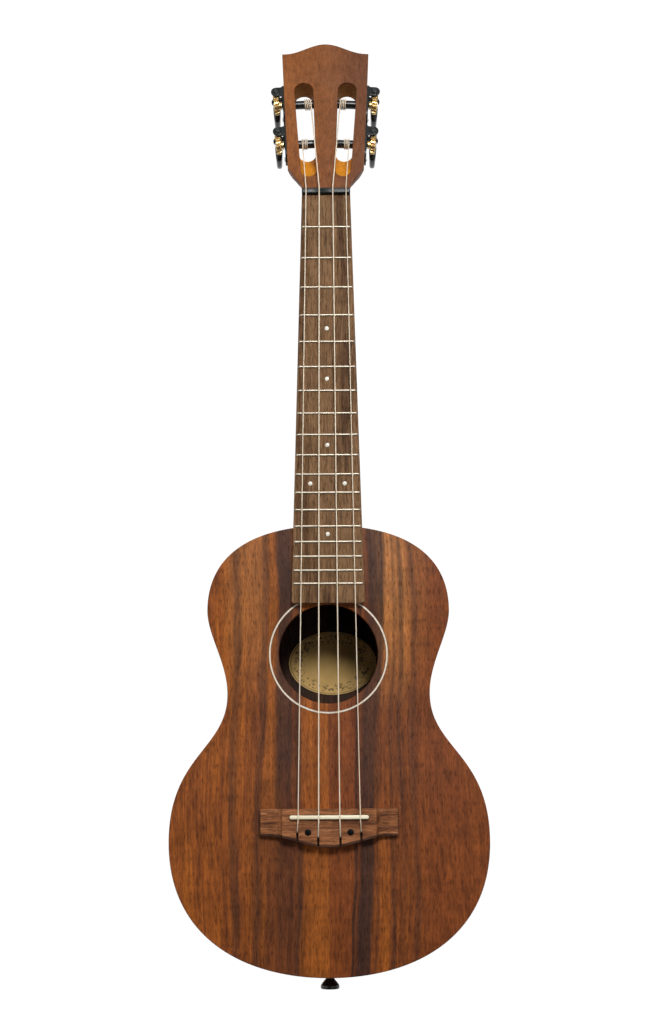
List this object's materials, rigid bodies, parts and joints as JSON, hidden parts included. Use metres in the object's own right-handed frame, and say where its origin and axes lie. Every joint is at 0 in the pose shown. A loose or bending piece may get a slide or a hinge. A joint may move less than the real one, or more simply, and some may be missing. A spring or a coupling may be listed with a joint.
{
  "type": "tenor ukulele",
  "caption": "Tenor ukulele with a striped wood body, walnut fretboard and bridge, slotted headstock and open worm-and-gear tuners, lying on its back.",
  "frame": {"origin": "outer face of the back, on the centre line, half way along the body", "axes": "+Z out of the soundboard, +Y along the neck towards the headstock, +X to the right as seen from the front"},
  "size_m": [0.2158, 0.6837, 0.0829],
  "materials": {
    "koa_top": "satin",
    "koa_side": "satin",
    "koa_face": "satin",
    "mahogany_neck": "satin",
    "mahogany_block": "raw",
    "spruce_brace": "raw",
    "walnut_board": "oiled",
    "walnut_bridge": "oiled",
    "nickel_fret": "polished",
    "black_nut": "satin",
    "bone_saddle": "satin",
    "black_strap_button": "gloss",
    "black_plate": "gloss",
    "black_roller": "gloss",
    "brass_gear": "polished",
    "brass_worm": "polished",
    "black_tuner_button": "gloss",
    "clear_string": "clear"
  },
  "bodies": {
    "instrument": {"soundboard": "koa_top", "back": "koa_side", "side_left": "koa_side", "side_right": "koa_side", "neck_block": "mahogany_block", "tail_block": "mahogany_block", "upper_top_brace": "spruce_brace", "lower_top_brace": "spruce_brace", "upper_back_brace": "spruce_brace", "lower_back_brace": "spruce_brace", "bridge_plate": "spruce_brace", "neck": "mahogany_neck", "headstock_veneer": "koa_face", "fretboard": "walnut_board", "fret_01": "nickel_fret", "fret_02": "nickel_fret", "fret_03": "nickel_fret", "fret_04": "nickel_fret", "fret_05": "nickel_fret", "fret_06": "nickel_fret", "fret_07": "nickel_fret", "fret_08": "nickel_fret", "fret_09": "nickel_fret", "fret_10": "nickel_fret", "fret_11": "nickel_fret", "fret_12": "nickel_fret", "fret_13": "nickel_fret", "fret_14": "nickel_fret", "fret_15": "nickel_fret", "fret_16": "nickel_fret", "fret_17": "nickel_fret", "fret_18": "nickel_fret", "nut": "black_nut", "bridge": "walnut_bridge", "saddle": "bone_saddle", "strap_button": "black_strap_button", "g_tuner_plate": "black_plate", "c_tuner_plate": "black_plate", "e_tuner_plate": "black_plate", "a_tuner_plate": "black_plate", "g_string": "clear_string", "c_string": "clear_string", "e_string": "clear_string", "a_string": "clear_string"},
    "g_worm_and_button": {"g_tuner_worm": "brass_worm", "g_tuner_button": "black_tuner_button"},
    "g_roller_and_gear": {"g_tuner_roller": "black_roller", "g_tuner_gear": "brass_gear"},
    "c_worm_and_button": {"c_tuner_worm": "brass_worm", "c_tuner_button": "black_tuner_button"},
    "c_roller_and_gear": {"c_tuner_roller": "black_roller", "c_tuner_gear": "brass_gear"},
    "e_worm_and_button": {"e_tuner_worm": "brass_worm", "e_tuner_button": "black_tuner_button"},
    "e_roller_and_gear": {"e_tuner_roller": "black_roller", "e_tuner_gear": "brass_gear"},
    "a_worm_and_button": {"a_tuner_worm": "brass_worm", "a_tuner_button": "black_tuner_button"},
    "a_roller_and_gear": {"a_tuner_roller": "black_roller", "a_tuner_gear": "brass_gear"}
  },
  "joints": [
    {"name": "g_button_turn", "type": "hinge", "parent": "instrument", "child": "g_worm_and_button", "pos_m": [-0.03486, 0.44422, 0.0498], "axis": [0, 0.2419, 0.9703], "continuous": true},
    {"name": "g_roller_turn", "type": "hinge", "parent": "instrument", "child": "g_roller_and_gear", "pos_m": [-0.02869, 0.43663, 0.05169], "axis": [0.9989, 0.0451, -0.0112], "continuous": true},
    {"name": "c_button_turn", "type": "hinge", "parent": "instrument", "child": "c_worm_and_button", "pos_m": [-0.03651, 0.47857, 0.04124], "axis": [0, 0.2419, 0.9703], "continuous": true},
    {"name": "c_roller_turn", "type": "hinge", "parent": "instrument", "child": "c_roller_and_gear", "pos_m": [-0.03034, 0.47098, 0.04313], "axis": [0.9989, 0.0451, -0.0112], "continuous": true},
    {"name": "e_button_turn", "type": "hinge", "parent": "instrument", "child": "e_worm_and_button", "pos_m": [0.03651, 0.47857, 0.04124], "axis": [0, 0.2419, 0.9703], "continuous": true},
    {"name": "e_roller_turn", "type": "hinge", "parent": "instrument", "child": "e_roller_and_gear", "pos_m": [0.03034, 0.47098, 0.04313], "axis": [0.9989, -0.0451, 0.0112], "continuous": true},
    {"name": "a_button_turn", "type": "hinge", "parent": "instrument", "child": "a_worm_and_button", "pos_m": [0.03486, 0.44422, 0.0498], "axis": [0, 0.2419, 0.9703], "continuous": true},
    {"name": "a_roller_turn", "type": "hinge", "parent": "instrument", "child": "a_roller_and_gear", "pos_m": [0.02869, 0.43663, 0.05169], "axis": [0.9989, -0.0451, 0.0112], "continuous": true}
  ],
  "couplings": [
    {"joint": "g_roller_turn", "follows": "g_button_turn", "ratio": 0.066667},
    {"joint": "c_roller_turn", "follows": "c_button_turn", "ratio": 0.066667},
    {"joint": "e_roller_turn", "follows": "e_button_turn", "ratio": -0.066667},
    {"joint": "a_roller_turn", "follows": "a_button_turn", "ratio": -0.066667}
  ]
}
